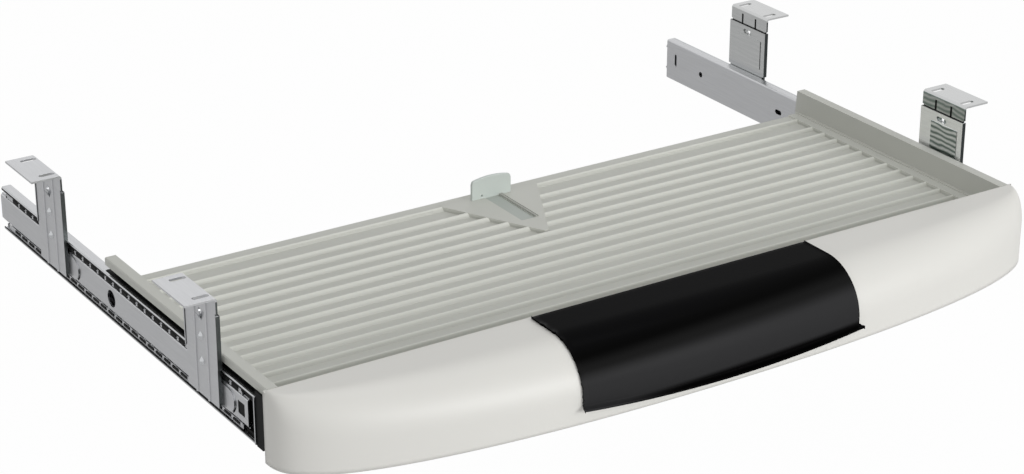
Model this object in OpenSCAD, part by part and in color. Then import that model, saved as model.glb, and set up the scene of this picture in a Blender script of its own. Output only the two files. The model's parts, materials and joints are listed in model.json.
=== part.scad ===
// Keyboard tray that hangs under a desk on two ball-bearing slides.
// Origin: centre of the four desk flanges, on the face that meets the desk.
// +X to the right, +Y to the rear, +Z up. Millimetres. Shown pushed in and at its highest setting.

/* [Slides] */
// Length of the tray's slide channel
slide_len = 450; // [400:10:500]
// Height of the slide channel
slide_h = 38.5; // [37:0.5:40]
// Depth of the slide channel, from its web to its lips
slide_d = 9; // [8.8:0.1:11]
// Steel thickness of channel and runner
steel_t = 1.2; // [1:0.1:1.3]
// Height of the inner runner
runner_h = 21.7; // [21.5:0.1:24]
// How far the runner's front end stands behind the channel's
runner_lead = 12; // [9:1:16]
// How far the runner's rear end stands out behind the channel
runner_tail = 5; // [2:1:9]
// How far a channel lip turns down over the balls
lip_h = 2.6; // [2.4:0.1:3.2]
// How far the tray pulls out
travel = 230; // [150:5:240]
// Bearing balls in each row
ball_count = 16; // [6:1:16]
// Diameter of the bearing balls
ball_d = 4.8; // [4:0.1:5]
// Sheet thickness of the ball cage
cage_t = 0.5; // [0.4:0.1:0.6]
// Running gap round each ball
ball_gap = 0.1; // [0.05:0.01:0.12]

/* [Brackets] */
// Underside of the desk to the bottom of the slides, at the highest setting
desk_drop = 95.7; // [92:0.1:105]
// Distance between front and rear brackets
bracket_pitch = 266.5; // [230:0.5:280]
// Front bracket's centre, measured back from the channel's front end
front_inset = 73; // [62:1:84]
// Length of a desk flange along the slide
flange_len = 52; // [48:1:58]
// How far a desk flange reaches outwards
flange_reach = 25; // [22:0.5:32]
// Thickness of the hanger plate
hanger_t = 1.6; // [1.4:0.1:2]
// Outside radius of the hanger's bend
bend_r = 2.4; // [2:0.1:3]
// Width of the hanger's leg below its shoulders
leg_w = 49; // [44:0.5:49.4]
// Length of the hanger's leg
leg_len = 87; // [84:0.5:89]
// Desk slot length, end to end
slot_len = 13; // [10:0.5:15]
// Desk slot width
slot_w = 4.6; // [4:0.1:5.4]
// Distance from the hanger's leg to the middle of its slots
slot_inset = 9; // [8.5:0.5:12]
// Distance between the two slots of a flange
slot_pitch = 36; // [30:0.5:38]
// Depth below the desk of the leg's hole
first_hole = 19.5; // [19:0.5:22]
// Distance from the hole to the first height dimple, and on to the next
dimple_pitch = 20; // [16:0.5:22]
// Number of height dimples
dimple_count = 2; // [1:1:2]
// Diameter of the leg's hole
hole_d = 5; // [4:0.1:6]
// Diameter of the height dimples
dimple_d = 5; // [4:0.1:6]
// Distance between the two stiffening beads of a leg
bead_pitch = 19; // [16:0.5:24]
// Thickness of the sleeve plate
sleeve_t = 1.2; // [1:0.1:1.4]
// Depth below the desk of the sleeve's top edge
sleeve_top = 14; // [13:0.5:15]
// Length of the sleeve's cross slot
cross_slot_len = 12; // [9:0.5:16]

/* [Tray] */
// Width between the tray's side walls, at the floor
inner_w = 661; // [560:1:760]
// Depth of the tray from the fascia's back to the rear end
tray_len = 264; // [240:1:290]
// Gap from the fascia's back to the channel's front end
nose_len = 14.5; // [12:0.5:18]
// Height of the tray's rims above the slides
rim_rise = 10.9; // [9:0.1:14]
// Height of the overhanging rim
rim_h = 6.2; // [4:0.1:8]
// How far the rim reaches out from the wall's foot
rim_w = 10.5; // [9:0.1:11.5]
// Wall thickness of the tray
wall_t = 2.2; // [2:0.1:2.6]
// How far the inner wall leans out towards its top
wall_draft = 1.4; // [0:0.1:1.6]
// Depth of the keyboard well, rim to rib tops
well_depth = 19.2; // [16:0.1:22]
// Floor thickness under the grooves
floor_t = 2.4; // [2:0.1:3]
// Groove depth between the ribs
groove_depth = 3.4; // [2.6:0.1:4]
// Distance from rib to rib
rib_pitch = 16.8; // [14:0.1:20]
// Radius of a rib's rounded top
rib_r = 1.9; // [1.5:0.1:2.4]
// Width of a rib at its foot
rib_foot = 5.6; // [5:0.1:8]
// Width of the flat strips along the side walls
side_strip = 11; // [9:0.5:16]
// Width of the flat strip along the rear edge
rear_strip = 13.5; // [11:0.5:18]
// How far the rear strip lies below the rib tops
strip_low = 1.2; // [0.4:0.1:2]
// Depth of the skirt along the rear edge
rear_skirt = 18; // [14:0.5:20]
// Thickness of the slide's backing plate
plate_t = 1.5; // [1.2:0.1:2]

/* [Fascia] */
// Depth of the fascia at its middle
fascia_depth = 74.5; // [60:0.5:90]
// How far the fascia hangs below the slides
fascia_drop = 7; // [4:0.5:14]
// How far the fascia's ends stand out past the rims
end_reach = 2.8; // [2:0.1:4]
// Wall thickness of the fascia
shell_t = 2.6; // [2:0.1:3]
// Reach of the rounded front edge, at the middle
front_round = 40; // [30:0.5:46]
// Height of the rounded front edge, at the middle
front_round_h = 38; // [28:0.5:42]
// Reach and height of the rounding at the two ends
end_round = 2.8; // [2.8:0.1:6]

/* [Wrist pad] */
// Width of the wrist pad
pad_w = 252; // [200:1:300]
// Thickness of the wrist pad
pad_t = 1.8; // [1.4:0.1:2.4]
// Distance from the fascia's inner edge to the pad
pad_inset = 4; // [3:0.5:8]
// Height of the pad's bottom edge above the fascia's
pad_lift = 12.5; // [9:0.5:18]
// How far the pad's bottom lip flares out
pad_flare = 6.5; // [2:0.5:8]
// How much lower the pad's bottom edge hangs at its middle
pad_sag = 5.5; // [0:0.5:6]
// How far the lip's ends stand out sideways
pad_spread = 2; // [0:0.5:3]

/* [Cable tab] */
// Width of the upright cable tab
tab_w = 38; // [30:1:44]
// Height of the tab above the tray's floor
tab_h = 18.5; // [12:0.5:20]
// Thickness of the tab
tab_t = 3; // [2:0.1:3.6]
// Distance from the tray's rear edge to the tab
tab_inset = 15; // [12:0.5:18]
// Length of the tab's foot along the tray
foot_len = 56; // [40:1:60]
// Width of the tab's foot
foot_w = 13; // [10:0.5:16]
// Sideways place of the tab and its boss
tab_x = -3; // [-10:1:10]
// Length of the triangular boss
boss_len = 84; // [76:1:100]
// Width of the triangular boss at the rear
boss_w = 92; // [84:1:110]

/* [Hidden] */
$fn = 48;
cut = 0.1;              // how far a cutter runs past a face
run_gap = 0.3;          // gap between pieces that slide on each other
lip_gap = 0.4;          // gap between a channel lip and the sleeve outside it
seat_gap = 0.15;        // gap under a curved piece that lies on another
zinc = "#b4b8ba";
plastic = "#c3c4bc";
offwhite = "#dcdbd6";
black = "#1c1c1c";

// heights
slide_bot = -desk_drop;
slide_top = slide_bot + slide_h;
slide_mid = slide_bot + slide_h / 2;
rim_top = slide_top + rim_rise;
rim_bot = rim_top - rim_h;
rib_top = rim_top - well_depth;
groove_z = rib_top - groove_depth;
floor_bot = groove_z - floor_t;
skirt_bot = slide_bot - 1;
fascia_bot = slide_bot - fascia_drop;

// half widths, from the tray's wall out to the desk flange
wall_x = inner_w / 2;
plate_x = wall_x + wall_t;
web_x = plate_x + plate_t;
lip_x = web_x + slide_d;
tongue_x = lip_x + lip_gap;
leg_x = tongue_x + sleeve_t + run_gap;
rim_x = wall_x + rim_w;
slot_x = leg_x + slot_inset;

// inside the slide
runner_x = lip_x - 0.8;                             // outer face of the runner's web
runner_d = slide_d - 3.5;                           // depth of the runner
cage_x = web_x + steel_t + 0.6;
race_gap = (slide_h - runner_h) / 2 - steel_t;
ball_r = min(ball_d / 2, race_gap / 2 - ball_gap);
race_rise = race_gap / 2 - ball_r - ball_gap;         // how far each pressed race stands out towards the balls
race_w = 3.6;
ball_x = (runner_x - runner_d + lip_x - steel_t) / 2 - 0.25;
ball_z = runner_h / 2 + race_gap / 2;
pad_h = tongue_x - runner_x;                        // height of the pressed pad under a sleeve

// lengths along the slide
front_y = -bracket_pitch / 2;
rear_y = bracket_pitch / 2;
channel_y = front_y - front_inset;
channel_end = channel_y + slide_len;
runner_y = channel_y + runner_lead;
runner_end = channel_end + runner_tail;
fascia_y = channel_y - nose_len;
tray_end = fascia_y + tray_len;
cage_y = runner_y + 7;
cage_end = channel_end - 7;
ball_start = runner_y + travel / 2 + 8;             // first and last ball stay in both members
ball_stop = channel_end - travel / 2 - 8;
floor_end = tray_end - 4;
skirt_end = tray_end - 6;

// ribs of the floor
rib_half = wall_x - side_strip;
ribs_end = floor_end - rear_strip;
first_groove = 19.8;                                // the groove behind the rib field is wider
ribs_front = fascia_y + 6;
rib_count = floor((ribs_end - first_groove - ribs_front) / rib_pitch) + 1;

// screws and rivets
screw_r = 1.9;
screw_hole_r = 2;
screw_head_r = 3.4;
screw_head_h = 0.3;
screw_ys = [channel_y + slide_len / 15, channel_y + slide_len * 0.262, skirt_end - slide_len / 20];
rivet_r = 2;
rivet_head_r = 3.4;
rivet_dy = 14;

// the fascia's surface: rings of a superellipse, from the side (a = 0) up to the flat top (a = 90)
fascia_a = rim_x + end_reach;
fascia_rows = 12;
fascia_cols = 64;
plan_x = 2.1;           // powers of the plan's superellipse, across and along
plan_y = 2.7;

function plan_depth(x, a, b) = b * pow(max(0, 1 - pow(min(1, abs(x) / a), plan_x)), 1 / plan_y);
function ring_a(t, inset) = fascia_a - inset - (end_round - min(inset, 1)) * (1 - cos(t));
function ring_b(t, inset) = fascia_depth - inset - (front_round - inset / 2) * (1 - cos(t));
function ring_fall(c) = end_round + (front_round_h - end_round) * pow(c, 0.5);
function ring_z(t, c, inset) = rim_top - inset - ring_fall(c) * (1 - sin(t));

// a point of the fascia's surface; u runs 0 to 180 from the right end to the left
function fascia_point(u, t, inset) =
    let (b = ring_b(t, inset), d = inset + (b - inset) * pow(max(0, sin(u)), 2 / plan_y))
    [(u < 90 ? 1 : -1) * ring_a(t, inset) * pow(max(0, 1 - pow(d / b, plan_y)), 1 / plan_x),
        fascia_y - d, ring_z(t, d / b, inset)];

// extrudes a section drawn in X and Z along Y
module along_y(y0, y1) {
    translate([0, y1, 0])
    rotate([90, 0, 0])
    linear_extrude(y1 - y0)
    children();
}

// extrudes a section drawn in Y and Z along X
module along_x(x0, x1) {
    translate([x0, 0, 0])
    rotate([90, 0, 90])
    linear_extrude(x1 - x0)
    children();
}

module box(from, to) {
    translate(from)
    cube(to - from);
}

module span(x0, z0, x1, z1) {
    translate([x0, z0])
    square([x1 - x0, z1 - z0]);
}

module round_span(x0, z0, x1, z1, r) {
    span(x0 + r, z0, x1 - r, z1);
    span(x0, z0 + r, x1, z1 - r);
    for (x = [x0 + r, x1 - r], z = [z0 + r, z1 - r])
        translate([x, z])
        circle(r);
}

// a slot's outline, long along its first axis
module slot_shape(len, wide) {
    square([len - wide, wide], center = true);
    for (s = [-1, 1])
        translate([s * (len - wide) / 2, 0])
        circle(wide / 2);
}

module rod_x(x0, x1, y, z, r) {
    translate([x0, y, z])
    rotate([0, 90, 0])
    cylinder(h = x1 - x0, r = r);
}

module both(left) {
    mirror([left ? 1 : 0, 0, 0])
    children();
}

// a pressed round dimple that stands out of a plate whose outer face is at x
module dimple(x, y, z, d, high) {
    translate([x - 0.4, y, z])
    rotate([0, 90, 0])
    cylinder(h = high + 0.4, r1 = d / 2, r2 = d / 4);
}

// L-shaped hanger: desk flange with two slots, and a leg with two pressed beads, a hole and height dimples
module hanger(yc, left) {
    leg_z = -leg_len;
    bead_r = 1.1;
    shoulder = 12.5;
    color(zinc)
    both(left)
    difference() {
        union() {
            along_y(yc - flange_len / 2, yc + flange_len / 2)
            difference() {
                union() {
                    span(leg_x, -hanger_t, leg_x + flange_reach, 0);
                    span(leg_x, -shoulder, leg_x + hanger_t, 0);
                }
                difference() {
                    span(leg_x - cut, -bend_r, leg_x + bend_r, cut);
                    translate([leg_x + bend_r, -bend_r])
                    circle(bend_r);
                }
            }
            box([leg_x, yc - leg_w / 2, leg_z], [leg_x + hanger_t, yc + leg_w / 2, -shoulder]);
            for (s = [-1, 1])
                translate([leg_x + hanger_t, yc + s * bead_pitch / 2, leg_z])
                cylinder(h = leg_len - shoulder + 4, r = bead_r);
            for (i = [1 : dimple_count])
                dimple(leg_x + hanger_t, yc, -first_hole - i * dimple_pitch, dimple_d, 1);
        }
        for (s = [-1, 1]) {
            translate([leg_x, yc + s * bead_pitch / 2, leg_z - cut])
            cylinder(h = leg_len - shoulder + 4, r = 0.8);
            translate([slot_x, yc + s * slot_pitch / 2, -hanger_t - cut])
            linear_extrude(hanger_t + 2 * cut)
            slot_shape(slot_len, slot_w);
        }
        rod_x(leg_x - cut, leg_x + hanger_t + cut, yc, -first_hole, hole_d / 2);
        for (i = [1 : dimple_count])
            rod_x(leg_x - cut, leg_x + hanger_t - 0.6, yc, -first_hole - i * dimple_pitch, dimple_d / 3);
    }
}

// Sleeve: a plate riveted outside the runner, folded above the slide into a trough round the leg
module sleeve(yc, left) {
    web_out = tongue_x + sleeve_t;
    fold_z = slide_top + 1.2;
    in_w = leg_w / 2 + run_gap;
    out_w = in_w + sleeve_t;
    tongue_w = leg_w / 2 - 1;
    flange_x = leg_x + hanger_t + 0.6;
    tongue_bot = slide_mid - runner_h / 2 + 2;
    press = 0.5;            // height of the pressed panel
    color(zinc)
    both(left)
    difference() {
        union() {
            box([tongue_x, yc - tongue_w, tongue_bot], [web_out, yc + tongue_w, fold_z + cut]);
            box([tongue_x, yc - out_w, fold_z], [web_out, yc + out_w, -sleeve_top]);
            for (s = [-1, 1])
                box([tongue_x, min(yc + s * in_w, yc + s * out_w), fold_z],
                    [flange_x, max(yc + s * in_w, yc + s * out_w), -sleeve_top]);
            box([tongue_x - press, yc - 20, fold_z + 6], [tongue_x + cut, yc + 12, -sleeve_top - 9]);
        }
        box([web_out - press, yc - 20 + sleeve_t, fold_z + 6 + sleeve_t],
            [web_out + cut, yc + 12 - sleeve_t, -sleeve_top - 9 - sleeve_t]);
        translate([tongue_x - cut, yc, -first_hole])
        rotate([90, 0, 90])
        linear_extrude(sleeve_t + 2 * cut)
        slot_shape(cross_slot_len, 4.2);
        for (s = [-1, 1])
            rod_x(tongue_x - cut, web_out + cut, yc + s * rivet_dy, slide_mid, rivet_r);
    }
}

// pressed pad of the runner under a sleeve; its round front end shows in front of the leg
module pad_shape(yc, grow) {
    pad_z = 9 - grow;
    translate([yc - 11, slide_mid])
    square([62 - 18, 2 * pad_z], center = true);
    for (s = [-1, 1])
        translate([yc - 11 + s * (62 - 18) / 2, slide_mid])
        circle(pad_z);
}

// crescent slit along the lower front of the pad's round end
module front_slit(yc) {
    difference() {
        translate([yc - 33, slide_mid])
        circle(10.2);
        translate([yc - 32.4, slide_mid + 1.2])
        circle(10.2);
        translate([yc - 37.5, slide_mid - 12])
        square([20, 24]);
    }
}

// pressed races that guide the balls, above and below the slide's middle, from low to high
module races(low, high) {
    for (s = [0, 1])
        translate([ball_x - race_w / 2, slide_mid])
        mirror([0, s])
        translate([0, low])
        square([race_w, high - low]);
}

// Inner slide member, open towards the tray, with its pressed pads, access hole and stop window
module fixed_runner(left) {
    half = runner_h / 2;
    in_x = runner_x - runner_d;
    color(zinc)
    both(left)
    difference() {
        union() {
            along_y(runner_y, runner_end)
            difference() {
                round_span(in_x - 2, slide_mid - half, runner_x, slide_mid + half, 1.2);
                span(in_x - 3, slide_mid - half - cut, in_x, slide_mid + half + cut);
                span(in_x - cut, slide_mid - half + steel_t, runner_x - steel_t, slide_mid + half - steel_t);
            }
            along_y(runner_y, runner_end)
            races(half - 0.2, half + race_rise);
            for (yc = [front_y, rear_y])
                along_x(runner_x - cut, runner_x + pad_h)
                pad_shape(yc, 0);
        }
        for (yc = [front_y, rear_y]) {
            along_x(runner_x - steel_t - cut, runner_x + pad_h - steel_t)
            pad_shape(yc, 1.2);
            for (s = [-1, 1])
                rod_x(runner_x - cut, runner_x + pad_h + cut, yc + s * rivet_dy, slide_mid, rivet_r);
            along_x(runner_x - steel_t - cut, runner_x + cut)
            front_slit(yc);
        }
        rod_x(runner_x - steel_t - cut, runner_x + cut, channel_y + slide_len * 0.53, slide_mid, 7);
        box([runner_x - steel_t - cut, runner_y + 5, slide_mid - 5],
            [runner_x + cut, runner_y + 15, slide_mid + 5]);
    }
}

// Black plastic stop that fills the runner's window and catches the pulled-out tray
module runner_stop(left) {
    in_x = runner_x - runner_d + 0.6;
    color(black)
    both(left) {
        box([runner_x - steel_t, runner_y + 5, slide_mid - 5], [runner_x - 0.4, runner_y + 15, slide_mid + 5]);
        box([in_x, runner_y + 1, slide_mid - 8], [runner_x - steel_t, runner_y + 20, slide_mid + 8]);
    }
}

// Flush rivets through the pressed pads and the sleeves' tongues
module bracket_rivets(left) {
    head_x = runner_x + pad_h - steel_t;
    color(zinc)
    both(left)
    for (yc = [front_y, rear_y], s = [-1, 1]) {
        rod_x(head_x - 0.9, head_x, yc + s * rivet_dy, slide_mid, rivet_head_r);
        rod_x(head_x, tongue_x + sleeve_t, yc + s * rivet_dy, slide_mid, rivet_r);
    }
}

// places of the balls along one row
function ball_ys() = [for (i = [0 : ball_count - 1])
    ball_start + i * (ball_stop - ball_start) / (ball_count - 1)];

// Pressed cage: a web behind the runner and two ledges with a pocket for each ball, closed at their ends
module ball_cage(left) {
    ledge = ball_z + cage_t / 2;
    ledge_x = lip_x - 0.3;
    color(zinc)
    both(left)
    difference() {
        union() {
            along_y(cage_y, cage_end)
            difference() {
                span(cage_x, slide_mid - ledge, ledge_x, slide_mid + ledge);
                span(cage_x + cage_t, slide_mid - ledge + cage_t, ledge_x + cut, slide_mid + ledge - cage_t);
            }
            for (y = [cage_y, cage_end - 1.2], s = [0, 1])
                translate([0, 0, slide_mid])
                mirror([0, 0, s])
                box([ledge_x - 1.6, y, runner_h / 2 + 0.5], [ledge_x, y + 1.2, ledge - cut]);
        }
        for (y = ball_ys()) {
            translate([ball_x, y, slide_mid - ledge - cut])
            cylinder(h = 2 * ledge + 2 * cut, r = ball_r + ball_gap);
            for (s = [-1, 1])
                translate([cage_x + cage_t, y - 1.5, slide_mid + s * ball_z - cage_t])
                cube([ball_x - cage_x - cage_t, 3, 2 * cage_t]);
        }
        box([cage_x - cut, cage_y + 10, slide_mid - 6], [cage_x + cage_t + cut, cage_end - 10, slide_mid + 6]);
    }
}

module bearing_balls(left) {
    color("silver")
    both(left)
    for (y = ball_ys(), s = [-1, 1])
        translate([ball_x, y, slide_mid + s * ball_z])
        sphere(ball_r);
}

// Outer slide member, open outwards, screwed to the tray's side
module tray_channel(left) {
    t = steel_t;
    color(zinc)
    both(left)
    difference() {
        union() {
            along_y(channel_y, channel_end)
            difference() {
                round_span(web_x, slide_bot, lip_x, slide_top, 1.5);
                round_span(web_x + t, slide_bot + t, lip_x - t, slide_top - t, 0.5);
                span(lip_x - t - cut, slide_bot + lip_h, lip_x + cut, slide_top - lip_h);
            }
            along_y(channel_y, channel_end)
            races(slide_h / 2 - t - race_rise, slide_h / 2 - t + 0.2);
        }
        for (y = screw_ys)
            rod_x(web_x - cut, web_x + t + cut, y, slide_mid, screw_hole_r);
        rod_x(web_x - cut, web_x + t + cut, channel_end - slide_len * 0.12, slide_mid, 2.6);
        translate([web_x - cut, channel_end - slide_len * 0.382, slide_mid])
        rotate([90, 0, 90])
        linear_extrude(t + 2 * cut)
        slot_shape(9, 4.4);
        translate([web_x - cut, channel_end - slide_len / 32, slide_mid + 2])
        rotate([90, 0, 90])
        linear_extrude(t + 2 * cut)
        rotate(90)
        slot_shape(12, 3);
    }
}

// Black bumper in the channel's front end, which the runner meets when the tray is pushed in
module channel_bumper(left) {
    in_x = web_x + steel_t;
    high = slide_h / 2 - steel_t - race_rise - 0.15;
    low = runner_h / 2 + race_rise + 0.35;
    color(black)
    both(left) {
        box([in_x, channel_y + 4, slide_mid - high], [lip_x - 3.5, runner_y - 0.8, slide_mid + high]);
        for (s = [0, 1])
            translate([0, 0, slide_mid])
            mirror([0, 0, s])
            box([in_x, channel_y + 1, low], [lip_x - 1.6, cage_y - 2, high]);
    }
}

// outline of the backing plate, with its front corners cut off
module plate_outline(end_y) {
    low = slide_bot - 0.4;
    polygon([[fascia_y, low + 5], [fascia_y + 5, low], [end_y, low], [end_y, rim_bot],
        [fascia_y + 3, rim_bot], [fascia_y, rim_bot - 3]]);
}

// Black backing plate between tray and channel, with a nose that closes the gap to the fascia
module side_plate(left) {
    nose_end = channel_y - 0.4;
    nose_x = lip_x - 0.6;
    color(black)
    both(left)
    difference() {
        union() {
            along_x(plate_x, web_x)
            plate_outline(skirt_end);
            along_x(plate_x, nose_x)
            plate_outline(nose_end);
        }
        for (y = screw_ys)
            rod_x(plate_x - cut, web_x + cut, y, slide_mid, screw_hole_r);
        box([web_x + 2.2, fascia_y + 5.4, slide_bot + 1.6], [nose_x - 1.8, nose_end + cut, rim_bot - 2.5]);
    }
}

module channel_screws(left) {
    head_x = web_x + steel_t;
    color("silver")
    both(left)
    for (y = screw_ys)
        difference() {
            union() {
                rod_x(head_x, head_x + screw_head_h, y, slide_mid, screw_head_r);
                rod_x(wall_x + 0.3, head_x, y, slide_mid, screw_r);
            }
            box([head_x + 0.1, y - 2.4, slide_mid - 0.4], [head_x + 1, y + 2.4, slide_mid + 0.4]);
            box([head_x + 0.1, y - 0.4, slide_mid - 2.4], [head_x + 1, y + 0.4, slide_mid + 2.4]);
        }
}

// section of a floor rib across its length
module rib_section() {
    top = groove_depth - 0.2;
    polygon([[-rib_foot / 2, -cut], [rib_foot / 2, -cut], [rib_foot / 2, 0],
        [rib_r * 0.94, top - rib_r * 0.66], [-rib_r * 0.94, top - rib_r * 0.66], [-rib_foot / 2, 0]]);
    translate([0, top - rib_r])
    circle(rib_r);
}

// outline of the triangular boss, seen from above
module boss_shape() {
    rear = floor_end - tab_inset + tab_t + 2;
    polygon([[tab_x - boss_w / 2, floor_end - rear_strip], [tab_x - boss_w / 2, rear],
        [tab_x + boss_w / 2, rear], [tab_x + boss_w / 2, floor_end - rear_strip],
        [tab_x + 2, floor_end - rear_strip - boss_len], [tab_x - 2, floor_end - rear_strip - boss_len]]);
}

// section of the right wall: foot ledge, leaning inner face, overhanging rim and skirt
module wall_section() {
    polygon([[wall_x - 2.6, floor_bot], [wall_x, floor_bot], [wall_x, skirt_bot], [plate_x, skirt_bot],
        [plate_x, rim_bot], [rim_x, rim_bot], [rim_x, rim_top - 0.8], [rim_x - 0.8, rim_top],
        [wall_x + wall_draft, rim_top], [wall_x, rib_top + 0.9], [wall_x - 2.6, rib_top + 0.9]]);
}

// Moulded tray: ribbed floor, side walls with overhanging rims, rear skirt and stiffening ribs below
module tray_shell() {
    foot_y = floor_end - tab_inset;
    color(plastic)
    difference() {
        union() {
            box([-wall_x, fascia_y, floor_bot], [wall_x, floor_end, groove_z]);
            for (s = [0, 1])
                mirror([s, 0, 0]) {
                    along_y(fascia_y, skirt_end)
                    wall_section();
                    box([rib_half, fascia_y, groove_z - cut], [wall_x, floor_end, rib_top]);
                    along_y(skirt_end - cut, tray_end)
                    intersection() {
                        wall_section();
                        span(wall_x, rib_top - 4, rim_x, rim_top);
                    }
                }
            box([-rib_half - cut, ribs_end, groove_z - cut], [rib_half + cut, floor_end, rib_top - strip_low]);
            along_x(-rib_half - cut, rib_half + cut)
            translate([ribs_end + rib_foot / 2 - 0.6, groove_z])
            rib_section();
            box([-rib_half - cut, fascia_y, groove_z - cut], [rib_half + cut, ribs_front, rib_top]);
            for (i = [0 : rib_count - 1])
                along_x(-rib_half - cut, rib_half + cut)
                translate([ribs_end - first_groove - i * rib_pitch, groove_z])
                rib_section();
            translate([0, 0, groove_z - cut])
            linear_extrude(groove_depth + cut)
            boss_shape();
            for (x = [1, 2.9])
                box([tab_x + foot_w / 2 + x, foot_y - foot_len, rib_top - cut],
                    [tab_x + foot_w / 2 + x + 0.8, foot_y, rib_top + 1.1]);
            box([-wall_x, floor_end - wall_t, rib_top - rear_skirt], [wall_x, floor_end, groove_z]);
            box([-wall_x, fascia_y, rib_top - rear_skirt], [wall_x, fascia_y + wall_t, groove_z]);
            for (i = [-2 : 2])
                box([i * wall_x / 3 - 0.9, fascia_y + wall_t - cut, floor_bot - 9],
                    [i * wall_x / 3 + 0.9, floor_end - wall_t + cut, floor_bot + cut]);
            for (i = [1 : 3])
                box([-wall_x, fascia_y + i * tray_len / 4 - 0.9, floor_bot - 9],
                    [wall_x, fascia_y + i * tray_len / 4 + 0.9, floor_bot + cut]);
        }
        box([tab_x - foot_w / 2, foot_y - foot_len, rib_top - 1.6], [tab_x + foot_w / 2, foot_y, rib_top + cut]);
        box([tab_x - tab_w / 2, foot_y, rib_top - 1.6], [tab_x + tab_w / 2, foot_y + tab_t, rib_top + cut]);
        for (s = [0, 1])
            mirror([s, 0, 0])
            for (y = screw_ys)
                rod_x(wall_x - cut, plate_x + cut, y, slide_mid, screw_hole_r);
    }
}

// closed solid inside the fascia's surface, inset from it, down to the height low
module fascia_body(inset, low) {
    rings = [for (r = [0 : fascia_rows]) 90 * r / fascia_rows];
    cols = fascia_cols + 1;
    us = [for (c = [0 : fascia_cols]) 180 * c / fascia_cols];
    first = [for (u = us) let (p = fascia_point(u, 0, inset)) [p[0], p[1], low]];
    body = [for (t = rings, u = us) fascia_point(u, t, inset)];
    points = concat(first, body);
    rows = len(rings) + 1;
    sides = [for (r = [0 : rows - 2], c = [0 : cols - 2])
        let (i = r * cols + c) each [[i, i + 1, i + cols], [i + 1, i + cols + 1, i + cols]]];
    top = [[for (c = [0 : cols - 1]) (rows - 1) * cols + c]];
    bottom = [[for (c = [0 : cols - 1]) cols - 1 - c]];
    rear = [[for (r = [0 : rows - 1]) r * cols + cols - 1, for (r = [rows - 1 : -1 : 0]) r * cols]];
    polyhedron(points, concat(sides, top, bottom, rear), convexity = 6);
}

// Bowed front: a hollow moulding, open below
module front_fascia() {
    color(offwhite)
    difference() {
        fascia_body(0, fascia_bot);
        fascia_body(shell_t, fascia_bot - 1);
    }
}

// A point of the pad's surface: v runs over the rounding (0 to 1), straight down (1 to 1.5) and out
// along a quarter ellipse to the edge of the lip (1.5 to 2); under 0 it is the flat top.
pad_rows = 16;
pad_cols = 24;
lip_curl = 3.5;         // height of the lip's curl
function pad_t_of(v) = 90 - 90 * min(1, max(0, v));
function pad_curl(v) = 180 * max(0, v - 1.5);
function pad_edge(x) = fascia_bot + pad_lift - pad_sag * (1 - pow(2 * x / pad_w, 2));
function pad_point(x, v, off) =
    let (t = pad_t_of(v), b = plan_depth(x, ring_a(t, 0), ring_b(t, 0)), c = b / ring_b(t, 0),
        q = pad_curl(v), out = 1 - cos(q), curl_z = pad_edge(x) + lip_curl,
        low = v > 1 ? (ring_z(0, c, 0) - curl_z) * min(1, 2 * (v - 1)) : 0)
    v < 0
    ? [x, fascia_y - b - v * (b - pad_inset), rim_top + off]
    : v <= 1
    ? [x, fascia_y - b - off * cos(t), ring_z(t, c, 0) + off * sin(t)]
    : [x * (1 + out * 2 * pad_spread / pad_w), fascia_y - b - off * cos(q) - pad_flare * out,
        ring_z(0, c, 0) - low - lip_curl * sin(q) + off * sin(q)];

// Wrist pad: a thin shell over the fascia's middle, with a flared bottom lip
module wrist_pad() {
    vs = [-1, each [for (i = [0 : pad_rows]) i / pad_rows], 1.25, each [for (i = [0 : 6]) 1.5 + i / 12]];
    xs = [for (i = [0 : pad_cols]) -pad_w / 2 + pad_w * i / pad_cols];
    n = len(xs);
    m = len(vs);
    outer = [for (v = vs, x = xs) pad_point(x, v, seat_gap + pad_t)];
    inner = [for (v = vs, x = xs) pad_point(x, v, seat_gap)];
    k = n * m;
    skins = [for (r = [0 : m - 2], c = [0 : n - 2]) let (i = r * n + c)
        each [[i, i + 1, i + n], [i + 1, i + n + 1, i + n],
            [k + i, k + i + n, k + i + 1], [k + i + 1, k + i + n, k + i + n + 1]]];
    ends = [for (c = [0 : n - 2]) let (i = c, j = (m - 1) * n + c)
        each [[i, k + i, i + 1], [i + 1, k + i, k + i + 1], [j, j + 1, k + j], [j + 1, k + j + 1, k + j]]];
    flanks = [for (r = [0 : m - 2]) let (i = r * n, j = r * n + n - 1)
        each [[i, i + n, k + i], [i + n, k + i + n, k + i], [j, k + j, j + n], [j + n, k + j, k + j + n]]];
    color(black)
    polyhedron(concat(outer, inner), concat(skins, ends, flanks), convexity = 6);
}

// Cable tab: an upright plate with rounded top corners on a foot that lies in the boss
module cable_tab() {
    foot_y = floor_end - tab_inset;
    r = 6;
    low = rib_top - 1.6;
    color("#c9cfcc")
    difference() {
        union() {
            translate([0, foot_y + tab_t, 0])
            rotate([90, 0, 0])
            linear_extrude(tab_t)
            intersection() {
                translate([tab_x, rib_top + tab_h - 72])
                circle(72, $fn = 120);
                union() {
                    span(tab_x - tab_w / 2 + 0.1, low, tab_x + tab_w / 2 - 0.1, rib_top + tab_h - r);
                    span(tab_x - tab_w / 2 + r, low, tab_x + tab_w / 2 - r, rib_top + tab_h);
                    for (s = [-1, 1])
                        translate([tab_x + s * (tab_w / 2 - r - 0.1), rib_top + tab_h - r])
                        circle(r);
                }
            }
            box([tab_x - foot_w / 2 + 0.1, foot_y - foot_len + 0.2, low],
                [tab_x + foot_w / 2 - 0.1, foot_y + cut, low + 1]);
        }
        translate([tab_x - tab_w / 4, foot_y + tab_t + cut, rib_top + 2.4])
        rotate([90, 0, 0])
        cylinder(h = tab_t + 2 * cut, r = 0.9);
    }
}

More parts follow.
